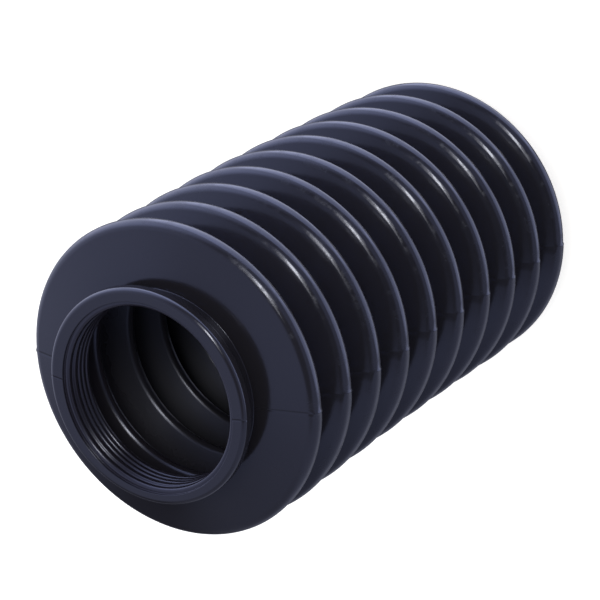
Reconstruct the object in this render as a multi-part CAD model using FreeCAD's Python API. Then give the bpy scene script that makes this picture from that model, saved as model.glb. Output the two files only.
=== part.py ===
import FreeCAD, Part
import math
import os
from collections import namedtuple

# Rubber bellows boot, moulded in one piece: ten equal folds between two clamp collars.
# The axis is Z. The boot stands on one collar, and the open mouth of the other is at the top.
# Lengths are in millimetres and angles in degrees.

# Folds
FOLD_COUNT = 10
FOLD_PITCH = 12.25
CREST_RADIUS = 35.0         # outside, at the top of a fold
ROOT_RADIUS = 25.1          # outside, at the bottom of a valley
CREST_ROUNDING = 2.1        # outside radius of a fold's edge
VALLEY_ROUNDING = 1.1       # outside radius of a valley's bottom
WALL = 1.8                  # rubber thickness of the folds
END_FACE_ANGLE = 9.5        # how far the face beside a collar leans from square to the axis

# Collar, the same at both ends
COLLAR_REACH = 10.6         # from the collar's end to the middle of the nearest fold
BORE_RADIUS = 19.8
LIP_RADIUS = 24.0
LIP_LENGTH = 2.7
LIP_NOSE_ROUNDING = 1.4
LIP_BACK_ROUNDING = 0.4
NECK_RADIUS = 21.9          # floor of the clamp groove
NECK_LIP_FILLET = 0.4
NECK_FACE_FILLET = 0.4

# Mouth and grip ribs inside the collar
MOUTH_STEP_RADIUS = 21.0    # a shallow step runs round the mouth inside this radius
MOUTH_STEP_DEPTH = 0.6
MOUTH_ROUNDING = 0.5
SEAL_GROOVE_PLACE = 2.1     # from the collar's end to the middle of the seal groove
SEAL_GROOVE_ROUNDING = 0.5
RIB_COUNT = 4
RIB_PITCH = 1.32
RIB_GROOVE_ROUNDING = 0.24  # fine grooves part the ribs
BORE_END_ROUNDING = 0.7

# Worked out from the sizes above
LENGTH = 2 * COLLAR_REACH + (FOLD_COUNT - 1) * FOLD_PITCH
CREST_CENTRE = CREST_RADIUS - CREST_ROUNDING
VALLEY_CENTRE = ROOT_RADIUS + VALLEY_ROUNDING


# One stretch of the section: a round about (r, z), run from the start angle to the finish angle.
# A round of radius 0 is a plain corner. Straight lines join one stretch to the next.
Round = namedtuple("Round", "r z radius start finish")


def corner(r, z):
    return Round(r, z, 0.0, 0.0, 0.0)


def point_on(stretch, angle):
    turn = math.radians(angle)
    r = stretch.r + stretch.radius * math.cos(turn)
    z = stretch.z + stretch.radius * math.sin(turn)
    return FreeCAD.Vector(r, 0, z)


def backwards(stretches):
    return [Round(s.r, s.z, s.radius, s.finish, s.start) for s in reversed(stretches)]


def mirrored(stretches):
    # The other end of the boot, turned over about the middle of its length.
    return [Round(s.r, LENGTH - s.z, s.radius, -s.finish, -s.start) for s in reversed(stretches)]


def flank_angle():
    # Lean of a fold's flank, on the line that touches both the crest's and the valley's round.
    across = CREST_CENTRE - VALLEY_CENTRE
    along = FOLD_PITCH / 2
    lean_of_centres = math.atan2(along, across)
    turn_to_tangent = math.asin((CREST_ROUNDING + VALLEY_ROUNDING) / math.hypot(across, along))
    return math.degrees(lean_of_centres - turn_to_tangent)


def folds(depth):
    # The folded wall's own line, at a depth below the outside: 0 outside, the wall's thickness inside.
    flank = 90 - flank_angle()
    end_face = 90 - END_FACE_ANGLE
    stretches = []
    for index in range(FOLD_COUNT):
        z = COLLAR_REACH + index * FOLD_PITCH
        start = -end_face if index == 0 else -flank
        finish = end_face if index == FOLD_COUNT - 1 else flank
        stretches.append(Round(CREST_CENTRE, z, CREST_ROUNDING - depth, start, finish))
        if index < FOLD_COUNT - 1:
            valley = VALLEY_ROUNDING + depth
            stretches.append(Round(VALLEY_CENTRE, z + FOLD_PITCH / 2, valley, 180 + flank, 180 - flank))
    return stretches


def end_face_height(r, distance):
    # Height at radius r of the line that lies this far outside the first fold's face centre line.
    lean = math.radians(END_FACE_ANGLE)
    return COLLAR_REACH + ((r - CREST_CENTRE) * math.sin(lean) - distance) / math.cos(lean)


def collar_outside():
    fillet_r = NECK_RADIUS + NECK_FACE_FILLET
    fillet_z = end_face_height(fillet_r, CREST_ROUNDING + NECK_FACE_FILLET)
    nose_r = LIP_RADIUS - LIP_NOSE_ROUNDING
    back_r = LIP_RADIUS - LIP_BACK_ROUNDING
    back_z = LIP_LENGTH - LIP_BACK_ROUNDING
    return [
        corner(MOUTH_STEP_RADIUS, 0),
        Round(nose_r, LIP_NOSE_ROUNDING, LIP_NOSE_ROUNDING, -90, 0),
        Round(back_r, back_z, LIP_BACK_ROUNDING, 0, 90),
        Round(NECK_RADIUS + NECK_LIP_FILLET, LIP_LENGTH + NECK_LIP_FILLET, NECK_LIP_FILLET, 270, 180),
        Round(fillet_r, fillet_z, NECK_FACE_FILLET, 180, 90 + END_FACE_ANGLE),
    ]


def collar_inside():
    mouth_r = BORE_RADIUS + MOUTH_ROUNDING
    mouth_z = MOUTH_STEP_DEPTH + MOUTH_ROUNDING
    stretches = [
        corner(MOUTH_STEP_RADIUS, MOUTH_STEP_DEPTH),
        Round(mouth_r, mouth_z, MOUTH_ROUNDING, -90, -180),
        Round(BORE_RADIUS, SEAL_GROOVE_PLACE, SEAL_GROOVE_ROUNDING, -90, 90),
    ]
    first_rib_end = SEAL_GROOVE_PLACE + SEAL_GROOVE_ROUNDING + RIB_PITCH
    for index in range(RIB_COUNT - 1):
        z = first_rib_end + index * RIB_PITCH
        stretches.append(Round(BORE_RADIUS, z, RIB_GROOVE_ROUNDING, -90, 90))
    end_r = BORE_RADIUS + BORE_END_ROUNDING
    end_z = end_face_height(end_r, CREST_ROUNDING - WALL + BORE_END_ROUNDING)
    stretches.append(Round(end_r, end_z, BORE_END_ROUNDING, 180, 90 + END_FACE_ANGLE))
    return stretches


def outline(stretches):
    edges = []
    starts = [point_on(s, s.start) for s in stretches]
    for index, stretch in enumerate(stretches):
        start = starts[index]
        finish = start
        if stretch.radius > 0:
            finish = point_on(stretch, stretch.finish)
            middle = point_on(stretch, (stretch.start + stretch.finish) / 2)
            edges.append(Part.Arc(start, middle, finish).toShape())
        following = starts[(index + 1) % len(stretches)]
        if finish.distanceToPoint(following) > 1e-6:
            edges.append(Part.LineSegment(finish, following).toShape())
    return Part.Wire(edges)


def bellows_boot():
    outside = collar_outside() + folds(0) + mirrored(collar_outside())
    inside = collar_inside() + folds(WALL) + mirrored(collar_inside())
    section = Part.Face(outline(outside + backwards(inside)))
    return section.revolve(FreeCAD.Vector(0, 0, 0), FreeCAD.Vector(0, 0, 1), 360)


os.makedirs("parts", exist_ok=True)
boot = bellows_boot()
boot.exportStep("parts/bellows_boot.step")
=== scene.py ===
import bmesh
import bpy
import math
from collections import namedtuple
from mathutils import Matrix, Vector


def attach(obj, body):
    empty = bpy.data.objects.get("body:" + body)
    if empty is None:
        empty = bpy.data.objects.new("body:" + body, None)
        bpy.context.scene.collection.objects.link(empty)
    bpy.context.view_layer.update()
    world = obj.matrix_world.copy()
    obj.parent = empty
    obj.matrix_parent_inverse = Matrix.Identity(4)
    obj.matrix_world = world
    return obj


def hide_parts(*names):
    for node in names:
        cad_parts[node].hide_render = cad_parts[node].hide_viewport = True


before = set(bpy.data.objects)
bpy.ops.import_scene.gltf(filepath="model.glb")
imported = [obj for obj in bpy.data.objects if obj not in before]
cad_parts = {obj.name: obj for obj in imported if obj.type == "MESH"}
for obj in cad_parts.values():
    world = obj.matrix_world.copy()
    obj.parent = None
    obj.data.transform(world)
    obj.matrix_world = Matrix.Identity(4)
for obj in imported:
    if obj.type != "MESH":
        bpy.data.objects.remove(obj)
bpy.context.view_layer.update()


# The boot: one piece of blue-black rubber, moulded with ten folds between two clamp collars.
# The mould's two halves meet at the XZ plane and leave a fine parting line along both sides.
# It is turned about the Z axis from one closed section and stands on its lower collar.

# Folds
FOLD_COUNT = 10
FOLD_PITCH = 0.01225
CREST_RADIUS = 0.035            # outside, at the top of a fold
ROOT_RADIUS = 0.0251            # outside, at the bottom of a valley
CREST_ROUNDING = 0.0021
VALLEY_ROUNDING = 0.0011
RIDGE_ROUNDING = 0.0015         # inside, on the ridge behind a valley
WALL = 0.0018
END_FACE_ANGLE = 9.5            # degrees that the face beside a collar leans from square to the axis

# Collar, the same at both ends
COLLAR_REACH = 0.0106           # from the collar's end to the middle of the nearest fold
BORE_RADIUS = 0.0198
LIP_RADIUS = 0.024
LIP_LENGTH = 0.0027
LIP_NOSE_ROUNDING = 0.001
LIP_BACK_ROUNDING = 0.0004
NECK_RADIUS = 0.0219            # floor of the clamp groove
NECK_LIP_FILLET = 0.0004
NECK_FACE_FILLET = 0.00012

# Mouth and grip ribs inside the collar
MOUTH_STEP_RADIUS = 0.021
MOUTH_STEP_DEPTH = 0.0006
MOUTH_STEP_EDGE = 0.00008       # the step's two edges are almost sharp
MOUTH_ROUNDING = 0.0006
SEAL_GROOVE_PLACE = 0.0021      # from the collar's end to the middle of the seal groove
SEAL_GROOVE_ROUNDING = 0.0005
RIB_COUNT = 4
RIB_PITCH = 0.00132
RIB_GROOVE_ROUNDING = 0.00024   # fine grooves part the ribs
RIB_CROWN = 0.00012             # a rib stands this far proud of the bore
BORE_END_ROUNDING = 0.0007

BOOT_LENGTH = 2 * COLLAR_REACH + (FOLD_COUNT - 1) * FOLD_PITCH
CREST_CENTRE = CREST_RADIUS - CREST_ROUNDING
VALLEY_CENTRE = ROOT_RADIUS + VALLEY_ROUNDING

# One stretch of the section: a round about (r, z), from the start angle to the finish angle in
# degrees. Straight lines join one stretch to the next.
Round = namedtuple("Round", "r z radius start finish steps")


def backwards(stretches):
    return [s._replace(start=s.finish, finish=s.start) for s in reversed(stretches)]


def other_end(stretches):
    # The other end of the boot, turned over about the middle of its length.
    return [s._replace(z=BOOT_LENGTH - s.z, start=-s.finish, finish=-s.start)
            for s in reversed(stretches)]


def flank_angle(crest, valley_r, valley):
    # Lean of a fold's flank, on the line that touches both the crest's and the valley's round.
    across = CREST_CENTRE - valley_r
    along = FOLD_PITCH / 2
    lean_of_centres = math.atan2(along, across)
    return math.degrees(lean_of_centres - math.asin((crest + valley) / math.hypot(across, along)))


def folds(crest, valley_r, valley, crest_steps, valley_steps):
    flank = 90 - flank_angle(crest, valley_r, valley)
    end_face = 90 - END_FACE_ANGLE
    stretches = []
    for index in range(FOLD_COUNT):
        z = COLLAR_REACH + index * FOLD_PITCH
        start = -end_face if index == 0 else -flank
        finish = end_face if index == FOLD_COUNT - 1 else flank
        stretches.append(Round(CREST_CENTRE, z, crest, start, finish, crest_steps))
        if index < FOLD_COUNT - 1:
            middle = z + FOLD_PITCH / 2
            stretches.append(Round(valley_r, middle, valley, 180 + flank, 180 - flank, valley_steps))
    return stretches


def end_face_height(r, distance):
    # Height at radius r of the line that lies this far outside the first fold's face centre line.
    lean = math.radians(END_FACE_ANGLE)
    return COLLAR_REACH + ((r - CREST_CENTRE) * math.sin(lean) - distance) / math.cos(lean)


def collar_outside():
    step_r = MOUTH_STEP_RADIUS + MOUTH_STEP_EDGE
    nose_r = LIP_RADIUS - LIP_NOSE_ROUNDING
    back_r = LIP_RADIUS - LIP_BACK_ROUNDING
    back_z = LIP_LENGTH - LIP_BACK_ROUNDING
    neck_r = NECK_RADIUS + NECK_LIP_FILLET
    neck_z = LIP_LENGTH + NECK_LIP_FILLET
    fillet_r = NECK_RADIUS + NECK_FACE_FILLET
    fillet_z = end_face_height(fillet_r, CREST_ROUNDING + NECK_FACE_FILLET)
    return [
        Round(step_r, MOUTH_STEP_EDGE, MOUTH_STEP_EDGE, -180, -90, steps=3),
        Round(nose_r, LIP_NOSE_ROUNDING, LIP_NOSE_ROUNDING, -90, 0, steps=10),
        Round(back_r, back_z, LIP_BACK_ROUNDING, 0, 90, steps=4),
        Round(neck_r, neck_z, NECK_LIP_FILLET, 270, 180, steps=4),
        Round(fillet_r, fillet_z, NECK_FACE_FILLET, 180, 90 + END_FACE_ANGLE, steps=4),
    ]


def grip_rib(low, high):
    # A rib's crown is a shallow round between two grooves.
    half = (high - low) / 2
    rounding = (half ** 2 + RIB_CROWN ** 2) / (2 * RIB_CROWN)
    swing = math.degrees(math.asin(half / rounding))
    centre_r = BORE_RADIUS - RIB_CROWN + rounding
    return Round(centre_r, low + half, rounding, 180 + swing, 180 - swing, steps=5)


def collar_inside():
    step_r = MOUTH_STEP_RADIUS - MOUTH_STEP_EDGE
    step_z = MOUTH_STEP_DEPTH - MOUTH_STEP_EDGE
    mouth_r = BORE_RADIUS + MOUTH_ROUNDING
    mouth_z = MOUTH_STEP_DEPTH + MOUTH_ROUNDING
    stretches = [
        Round(step_r, step_z, MOUTH_STEP_EDGE, 0, 90, steps=3),
        Round(mouth_r, mouth_z, MOUTH_ROUNDING, -90, -180, steps=5),
        Round(BORE_RADIUS, SEAL_GROOVE_PLACE, SEAL_GROOVE_ROUNDING, -90, 90, steps=7),
    ]
    end_r = BORE_RADIUS + BORE_END_ROUNDING
    end_z = end_face_height(end_r, CREST_ROUNDING - WALL + BORE_END_ROUNDING)
    first_rib = SEAL_GROOVE_PLACE + SEAL_GROOVE_ROUNDING
    rib_start = first_rib
    for index in range(1, RIB_COUNT):
        groove_z = first_rib + index * RIB_PITCH
        stretches.append(grip_rib(rib_start, groove_z - RIB_GROOVE_ROUNDING))
        stretches.append(Round(BORE_RADIUS, groove_z, RIB_GROOVE_ROUNDING, -90, 90, steps=3))
        rib_start = groove_z + RIB_GROOVE_ROUNDING
    stretches.append(grip_rib(rib_start, end_z))
    stretches.append(Round(end_r, end_z, BORE_END_ROUNDING, 180, 90 + END_FACE_ANGLE, steps=5))
    return stretches


# Each point of the section is marked with the side of the rubber that it lies on.
OUTSIDE = 1
INSIDE = 2


class Section:
    """The pen that draws the section as a chain of edges in a mesh."""

    SUPPORT = 0.0001    # a straight run has a point this near to each end, which keeps it flat
    SAME_POINT = 1e-7

    def __init__(self, mesh, r, z):
        self.mesh = mesh
        self.side = mesh.verts.layers.int.new("side")
        self.mark = OUTSIDE
        self.tip = mesh.verts.new((r, 0, z))
        self.tip[self.side] = self.mark

    def place(self, point):
        self.tip = bmesh.ops.extrude_vert_indiv(self.mesh, verts=[self.tip])["verts"][0]
        self.tip.co = point
        self.tip[self.side] = self.mark

    def line_to(self, point):
        start = self.tip.co.copy()
        run = point - start
        if run.length < self.SAME_POINT:
            return
        if run.length > 4 * self.SUPPORT:
            inset = run.normalized() * self.SUPPORT
            self.place(start + inset)
            self.place(point - inset)
        self.place(point)

    def draw(self, stretches, mark):
        self.mark = mark
        for s in stretches:
            centre = Vector((s.r, 0, s.z))
            turn = math.radians(s.start)
            self.line_to(centre + s.radius * Vector((math.cos(turn), 0, math.sin(turn))))
            arc = bmesh.ops.spin(self.mesh, geom=[self.tip], cent=centre, axis=(0, -1, 0),
                                 angle=math.radians(s.finish - s.start), steps=s.steps)
            self.tip = [v for v in arc["geom_last"] if isinstance(v, bmesh.types.BMVert)][0]
            for vert in self.mesh.verts:
                if vert[self.side] == 0:
                    vert[self.side] = mark


boot = bmesh.new()
pen = Section(boot, MOUTH_STEP_RADIUS, MOUTH_STEP_EDGE)
ridge_centre = ROOT_RADIUS - WALL + RIDGE_ROUNDING
outer_folds = folds(CREST_ROUNDING, VALLEY_CENTRE, VALLEY_ROUNDING, crest_steps=12, valley_steps=6)
inner_folds = folds(CREST_ROUNDING - WALL, ridge_centre, RIDGE_ROUNDING, crest_steps=4, valley_steps=12)
pen.draw(collar_outside() + outer_folds + other_end(collar_outside()), OUTSIDE)
pen.draw(backwards(collar_inside() + inner_folds + other_end(collar_inside())), INSIDE)
pen.line_to(Vector((MOUTH_STEP_RADIUS, 0, MOUTH_STEP_EDGE)))
bmesh.ops.remove_doubles(boot, verts=boot.verts[:], dist=pen.SAME_POINT)

# The section is turned in unequal arcs, each of so many degrees and steps, which are finer beside
# the parting line at 0 and 180 degrees.
BESIDE_LINE = ((0.3, 1), (0.7, 1))
HALF_TURN = BESIDE_LINE + ((178, 70),) + BESIDE_LINE[::-1]
SEAM = 1e-6                     # the last arc ends this near to the first section, or nearer
turned = boot.verts[:] + boot.edges[:]
for angle, steps in HALF_TURN * 2:
    turned = bmesh.ops.spin(boot, geom=turned, cent=(0, 0, 0), axis=(0, 0, 1),
                            angle=math.radians(angle), steps=steps)["geom_last"]
bmesh.ops.remove_doubles(boot, verts=boot.verts[:], dist=SEAM)
bmesh.ops.recalc_face_normals(boot, faces=boot.faces[:])
boot.normal_update()


def smooth(value):
    value = min(max(value, 0), 1)
    return value * value * (3 - 2 * value)


# What the mould did to the turned shape: its two halves differ a little, a fine groove marks the
# parting line, and a nub of flash stands on every crest there.
TOP_FOLD = FOLD_COUNT - 1
CREST_SHOULDER = 0.0001         # the half at -Y has a squarer crest, this much fuller at its shoulders
FOLD_SPREAD = 0.10              # and its folds are this much thicker towards the crest
STEP_TURN = 1.2                 # degrees over which one half steps up to the other
ON_LINE = 0.01                  # degrees within which a point lies on the parting line
PARTING_GROOVE = 0.0001         # depth above the top crest, on the upper face and the upper collar
FOLD_GROOVE = 0.04 * PARTING_GROOVE
GROOVE_DEEPENS = 0.1            # of a fold's pitch above the top crest
CREST_NUB = 0.0002              # on the line, and half of that beside it
NUB_TURN = 0.4                  # degrees on each side of the line that a nub covers
NUB_DROP = 0.0006               # how far down from the crest it reaches
CREST_SWING = math.radians(90 - flank_angle(CREST_ROUNDING, VALLEY_CENTRE, VALLEY_ROUNDING))


def mould_marks(point, normal, r, fold):
    # How far the mould moved a point of the outside. The upper face is the same in both halves.
    move = Vector((0, 0, 0))
    off_line = abs(math.degrees(math.atan2(point.y, abs(point.x))))
    nearest_fold = min(max(round(fold), 0), TOP_FOLD)
    from_crest = (fold - nearest_fold) * FOLD_PITCH
    upper_face = nearest_fold == TOP_FOLD and from_crest > 0
    if point.y < 0 and not upper_face:
        fuller = smooth(off_line / STEP_TURN)
        spread = FOLD_SPREAD * smooth((r - ROOT_RADIUS) / (CREST_CENTRE - ROOT_RADIUS))
        move.z += from_crest * spread * fuller
        if r > CREST_CENTRE:
            around = abs(math.atan2(from_crest, r - CREST_CENTRE)) / CREST_SWING
            move += normal * CREST_SHOULDER * fuller * math.sin(math.pi * min(around, 1)) ** 2
    if off_line < ON_LINE:
        move -= normal * (PARTING_GROOVE if fold > TOP_FOLD + GROOVE_DEEPENS else FOLD_GROOVE)
    if off_line < NUB_TURN and r > CREST_RADIUS - NUB_DROP:
        move += normal * CREST_NUB * (1 if off_line < ON_LINE else 0.5)
    return move


# What the soft rubber did: the axis bows, the end folds and the upper collar sit a little aside, the
# upper fold and the lip are a little oval, and the upper fold has a shallow dent.
BOW = Vector((0.00047, -0.00069, 0))
TOP_FOLD_SHIFT = Vector((-0.00016, 0.00061, 0))
BOTTOM_FOLD_SHIFT = Vector((0.00019, 0.00037, 0))
COLLAR_SHIFT = Vector((0.00017, -0.0006, 0))
COLLAR_BLEND = 0.3              # of a fold's pitch, over which the collar's shift sets in
LIP_SHIFT = Vector((-0.00018, 0.00026, 0))
LIP_BLEND = 0.0015              # out from the mouth's step, over which the lip's own shift sets in
FOLD_OVAL = 0.0003              # along X
FOLD_OVAL_ASLANT = -0.00011     # along the line halfway between X and Y
LIP_OVAL = 0.0003               # along X
LIP_SHRINK = 0.00015
BOTTOM_FOLD_SHRINK = 0.0004
DENT = 0.00047
DENT_TURN = math.radians(220)


def soft_shape(point, r, fold, outside):
    # How far a point moved. The bow is greatest at the ends and the middle, and nought on average.
    turn = math.atan2(point.y, point.x)
    along = min(max(2 * fold / TOP_FOLD - 1, -1), 1)
    top = smooth(fold - (TOP_FOLD - 1))
    bottom = smooth(1 - fold)
    on_fold = smooth((r - LIP_RADIUS) / (CREST_CENTRE - LIP_RADIUS))
    collar = smooth((fold - TOP_FOLD) / COLLAR_BLEND) * (1 - on_fold)
    lip = collar * smooth((r - MOUTH_STEP_RADIUS) / LIP_BLEND) if outside else 0

    oval = FOLD_OVAL * math.cos(2 * turn) + FOLD_OVAL_ASLANT * math.sin(2 * turn)
    dent = DENT * max(math.cos(turn - DENT_TURN), 0) ** 2
    swell = (top * (oval - dent) - BOTTOM_FOLD_SHRINK * bottom) * on_fold
    swell += (LIP_OVAL * math.cos(2 * turn) - LIP_SHRINK) * lip
    move = Vector((math.cos(turn), math.sin(turn), 0)) * swell
    move += BOW * (along * along - 1 / 3) + TOP_FOLD_SHIFT * top + BOTTOM_FOLD_SHIFT * bottom
    return move + COLLAR_SHIFT * collar + LIP_SHIFT * lip


for v in boot.verts:
    r = math.hypot(v.co.x, v.co.y)
    fold = (v.co.z - COLLAR_REACH) / FOLD_PITCH
    outside = v[pen.side] == OUTSIDE
    move = soft_shape(v.co, r, fold, outside)
    if outside:
        move += mould_marks(v.co, v.normal, r, fold)
    v.co += move
boot.normal_update()

for face in boot.faces:
    face.smooth = True
boot_mesh = bpy.data.meshes.new("bellows_boot_rubber")
boot.to_mesh(boot_mesh)
boot.free()
boot_piece = bpy.data.objects.new("bellows_boot_rubber", boot_mesh)
bpy.context.scene.collection.objects.link(boot_piece)


class Mask:
    """One socket of a finish, so that sums on it are written as plain expressions."""

    def __init__(self, finish, socket):
        self.finish = finish
        self.socket = socket

    def sum(self, operation, first, second):
        return self.finish.add("ShaderNodeMath", {"operation": operation}, {0: first, 1: second})

    def __add__(self, other):
        return self.sum("ADD", self, other)

    def __rsub__(self, other):
        return self.sum("SUBTRACT", other, self)

    def __mul__(self, other):
        return self.sum("MULTIPLY", self, other)

    def __gt__(self, other):
        return self.sum("GREATER_THAN", self, other)

    __radd__ = __add__
    __rmul__ = __mul__


class Finish:
    """A material in the making."""

    def __init__(self, owner):
        owner.use_nodes = True
        self.owner = owner
        self.tree = owner.node_tree
        self.tree.nodes.clear()

    def add(self, kind, settings=(), sockets=(), output=0):
        node = self.tree.nodes.new(kind)
        for name, value in dict(settings).items():
            setattr(node, name, value)
        for name, value in dict(sockets).items():
            if isinstance(value, Mask):
                self.tree.links.new(value.socket, node.inputs[name])
            else:
                node.inputs[name].default_value = value
        return Mask(self, node.outputs[output]) if node.outputs else node

    def ramp(self, value, low, high):
        return self.add("ShaderNodeMapRange", {"interpolation_type": "SMOOTHSTEP"},
                        {"Value": value, "From Min": low, "From Max": high})

    def blend(self, factor, first, second):
        return self.add("ShaderNodeMix", {"data_type": "RGBA"},
                        {"Factor": factor, 6: first, 7: second}, output=2)

    def noise(self, place, scale, detail, roughness):
        return self.add("ShaderNodeTexNoise", {},
                        {"Vector": place, "Scale": scale, "Detail": detail, "Roughness": roughness})


# The rubber is blue-black all through, with a faint cloudiness and a fine grain in its skin.
RUBBER_DARK = (0.0105, 0.010, 0.0135, 1)
RUBBER_PALE = (0.0125, 0.012, 0.016, 1)
SPECULAR_BLUE = (0.62, 0.70, 1, 1)
GRAIN_HEIGHT = 0.0002

rubber = Finish(bpy.data.materials.new("moulded_rubber"))
place = rubber.add("ShaderNodeTexCoord", output="Object")
cloud = rubber.noise(place, scale=60, detail=4, roughness=0.6)
grain = rubber.noise(place, scale=1800, detail=3, roughness=0.6)
tint = rubber.blend(cloud, RUBBER_DARK, RUBBER_PALE)
relief = rubber.add("ShaderNodeBump", {}, {"Strength": 0.04, "Distance": GRAIN_HEIGHT, "Height": grain})

# The inside is duller, more so away from the mouth, where the mould's dust is left. Its colour pales
# deeper in: painted light in the dark bore.
INSIDE_NEAR = (0.012, 0.011, 0.017, 1)
INSIDE_DEEP_PAINTED_LIGHT = (0.018, 0.018, 0.027, 1)
DEEP_START = 0.009              # distance from the upper mouth
DEEP_FULL = 0.035
x, y, height = (rubber.add("ShaderNodeSeparateXYZ", {}, {"Vector": place}, output=axis)
                for axis in range(3))
depth = rubber.ramp(BOOT_LENGTH - height, DEEP_START, DEEP_FULL)
side = rubber.add("ShaderNodeAttribute", {"attribute_name": "side"}, output="Fac")
inner = rubber.ramp(side, OUTSIDE, INSIDE)
# Painted light: deeper in the bore the colour turns paler, lifting the dark there.
tint = rubber.blend(inner, tint, rubber.blend(depth, INSIDE_NEAR, INSIDE_DEEP_PAINTED_LIGHT))

# Fine dust lies here and there as single specks, one in about a tenth of the cells.
DUST = (0.3, 0.29, 0.31, 1)
CELLS = {"Vector": place, "Scale": 170}
CLEAN_CELLS = 0.9
SPECK_CORE = 0.03               # a speck's core and its soft edge, in widths of a cell
SPECK_EDGE = 0.06
cell_distance = rubber.add("ShaderNodeTexVoronoi", {}, CELLS)
cell_colour = rubber.add("ShaderNodeTexVoronoi", {}, CELLS, output=1)
picked = rubber.add("ShaderNodeSeparateColor", {}, {"Color": cell_colour})
speck = (picked > CLEAN_CELLS) * (1 - rubber.ramp(cell_distance, SPECK_CORE, SPECK_EDGE))
tint = rubber.blend(speck, tint, DUST)

# Scuffs on the crests dull the gloss in patches.
SCUFF_START = 0.0325            # distance from the axis
SCUFF_FULL = 0.0340
blotch = rubber.noise(place, scale=260, detail=3, roughness=0.7)
from_axis = rubber.add("ShaderNodeMath", {"operation": "SQRT"}, {0: x * x + y * y})
scuff = rubber.ramp(from_axis, SCUFF_START, SCUFF_FULL) * rubber.ramp(blotch, low=0.48, high=0.62)

# Roughness of the clean outside, and what the cloudiness, a scuff, the inside and its depths add.
SKIN = 0.10
CLOUDED = 0.05
SCUFFED = 0.16
INSIDE_DULL = 0.09
DEEP_DULL = 0.08
roughness = SKIN + CLOUDED * cloud + SCUFFED * scuff + (INSIDE_DULL + DEEP_DULL * depth) * inner

skin = rubber.add("ShaderNodeBsdfPrincipled", {}, {
    "Base Color": tint, "Roughness": roughness, "Normal": relief, "IOR": 1.5,
    "Specular Tint": SPECULAR_BLUE})
rubber.add("ShaderNodeOutputMaterial", {}, {"Surface": skin})
boot_mesh.materials.append(rubber.owner)
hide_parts("bellows_boot")
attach(boot_piece, "root")


# The table: a plain white sheet under the boot, wide enough to fill the view behind it.
# It glows for the camera alone, so that it shows white and keeps the boot's soft shadow. The gloss
# sees through it to the room.

TABLE_SIZE = 6.0
PAPER = (0.8, 0.8, 0.8, 1)
GLOW = 0.62

table = bmesh.new()
bmesh.ops.create_grid(table, x_segments=1, y_segments=1, size=TABLE_SIZE / 2)
table_mesh = bpy.data.meshes.new("table")
table.to_mesh(table_mesh)
table.free()
table_piece = bpy.data.objects.new("table", table_mesh)
bpy.context.scene.collection.objects.link(table_piece)

paper = Finish(bpy.data.materials.new("white_paper"))
seen = paper.add("ShaderNodeLightPath", output="Is Camera Ray")
mirrored = paper.add("ShaderNodeLightPath", output="Is Glossy Ray")
sheet = paper.add("ShaderNodeBsdfDiffuse", {}, {"Color": PAPER})
light = paper.add("ShaderNodeEmission", {}, {"Color": (1, 1, 1, 1), "Strength": GLOW * seen})
lit_sheet = paper.add("ShaderNodeAddShader", {}, {0: sheet, 1: light})
open_air = paper.add("ShaderNodeBsdfTransparent")
mixed = paper.add("ShaderNodeMixShader", {}, {0: mirrored, 1: lit_sheet, 2: open_air})
paper.add("ShaderNodeOutputMaterial", {}, {"Surface": mixed})
table_mesh.materials.append(paper.owner)


# The lamps: a tall, narrow softbox on the right of the camera, in a wider and dimmer frame.
# Only the frame washes the rubber with light. The softbox is there for its streak in the gloss.

# 58 degrees round from X and 47 degrees up, to the right of the camera.
KEY_DIRECTION = Vector((0.361, 0.578, 0.731)).normalized()
WARM_WHITE = (1, 0.91, 0.72)
AIM_HEIGHT = 0.8 * BOOT_LENGTH


def softbox(name, distance, width, height, watts, washes):
    aim = Vector((0, 0, AIM_HEIGHT))
    lamp = bpy.data.lights.new(name, "AREA")
    lamp.shape = "RECTANGLE"
    lamp.size = width
    lamp.size_y = height
    lamp.energy = watts
    lamp.color = WARM_WHITE
    stand = bpy.data.objects.new(name, lamp)
    stand.location = aim + KEY_DIRECTION * distance
    stand.rotation_euler = (aim - stand.location).to_track_quat("-Z", "Y").to_euler()
    stand.visible_diffuse = washes
    bpy.context.scene.collection.objects.link(stand)


softbox("key_softbox", distance=0.5, width=0.07, height=0.21, watts=1.0, washes=False)
softbox("key_frame", distance=0.51, width=0.19, height=0.36, watts=0.75, washes=True)


# The room: white to the camera, a soft pale light on the rubber, and a set of soft patches that only
# the gloss mirrors, such as the pale floor, which makes the bright rims of the crests.

ROOM_LIGHT = 0.8
MIRROR_LEVEL = 0.684            # the room's brightness in the gloss, away from the patches
MIRROR_DARKEST = 0.08
MIRROR_TINT = (0.78, 0.81, 1.04, 1)

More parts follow.
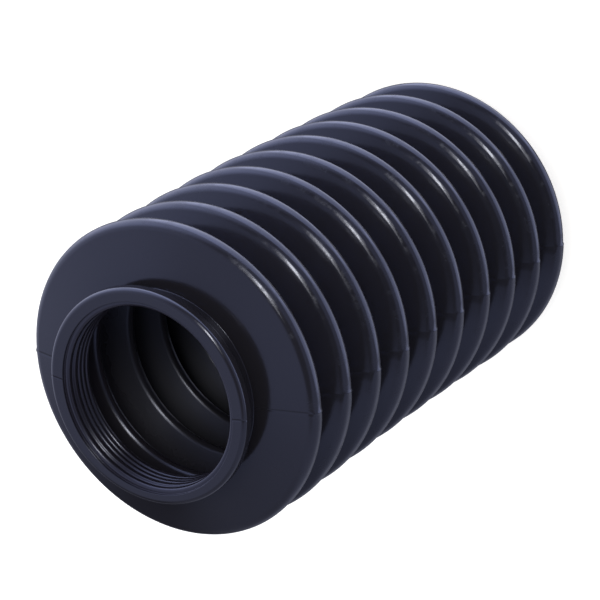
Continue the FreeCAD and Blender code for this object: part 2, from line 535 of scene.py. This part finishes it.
# One patch: how much brighter or darker than the room, the way to its middle, and the cosines of
# the angle from there at its edge and where it is full.
Patch = namedtuple("Patch", "brighter middle edge full")
PATCHES = (
    Patch(-0.53, (0.516, 0.105, 0.85), 0.74, 0.95),         # dark ceiling above the camera
    Patch(2.3, (-0.05, 0.82, -0.57), 0.7, 0.85),            # bright floor on the right
    Patch(1.3, (-0.93, 0.293, 0.221), 0.4, 1),              # pale wall behind the boot
    Patch(-0.42, (-0.851, 0.379, -0.364), -0.2, 0.1),       # dimmer lower half behind the boot
    Patch(1.65, (0.72, 0.2, -0.66), 0.82, 0.92),            # bright floor in front
    Patch(0.15, (-0.245, 0.027, 0.969), 0.85, 0.95),        # paler ceiling overhead
    Patch(0.3, (-0.54, -0.4, 0.74), 0.965, 0.99),           # small pale spot high on the left
    Patch(-0.3, (-0.3, -0.9, 0.3), 0.7, 0.97),              # dim wall on the left
    Patch(1.9, (-0.6, 0.79, -0.1), 0.55, 0.95),             # bright wall on the right
)

room = Finish(bpy.data.worlds.new("pale_room"))
bpy.context.scene.world = room.owner
direction = room.add("ShaderNodeTexCoord", output="Generated")
mirror_image = MIRROR_LEVEL
for patch in PATCHES:
    cosine = room.add("ShaderNodeVectorMath", {"operation": "DOT_PRODUCT"},
                      {0: direction, 1: patch.middle}, output=1)
    mirror_image = room.ramp(cosine, patch.edge, patch.full) * patch.brighter + mirror_image
mirror_image = room.add("ShaderNodeMath", {"operation": "MAXIMUM"},
                        {0: mirror_image, 1: MIRROR_DARKEST})
seen = room.add("ShaderNodeLightPath", output="Is Camera Ray")
soft = room.add("ShaderNodeLightPath", output="Is Diffuse Ray")
plain = seen + soft
strength = seen + ROOM_LIGHT * soft + (1 - plain) * mirror_image
tone = room.blend(plain, MIRROR_TINT, (1, 1, 1, 1))
shell = room.add("ShaderNodeBackground", {}, {"Color": tone, "Strength": strength})
room.add("ShaderNodeOutputWorld", {}, {"Surface": shell})


# The camera stands where the photo was taken from, and looks down into the upper mouth with a long
# lens.

CAMERA_PLACE = (0.274308, 0.202383, 0.507749)
CAMERA_TURN = (-22.165, 31.6313, -1.4744)       # degrees about X, Y and Z
FOCAL_LENGTH = 149.382                          # millimetres, as is the sensor's width
SENSOR_WIDTH = 36

lens = bpy.data.cameras.new("camera")
lens.lens = FOCAL_LENGTH
lens.sensor_width = SENSOR_WIDTH
camera = bpy.data.objects.new("camera", lens)
camera.location = CAMERA_PLACE
camera.rotation_euler = [math.radians(angle) for angle in CAMERA_TURN]
bpy.context.scene.collection.objects.link(camera)
bpy.context.scene.camera = camera
bpy.context.scene.view_settings.view_transform = "Standard"
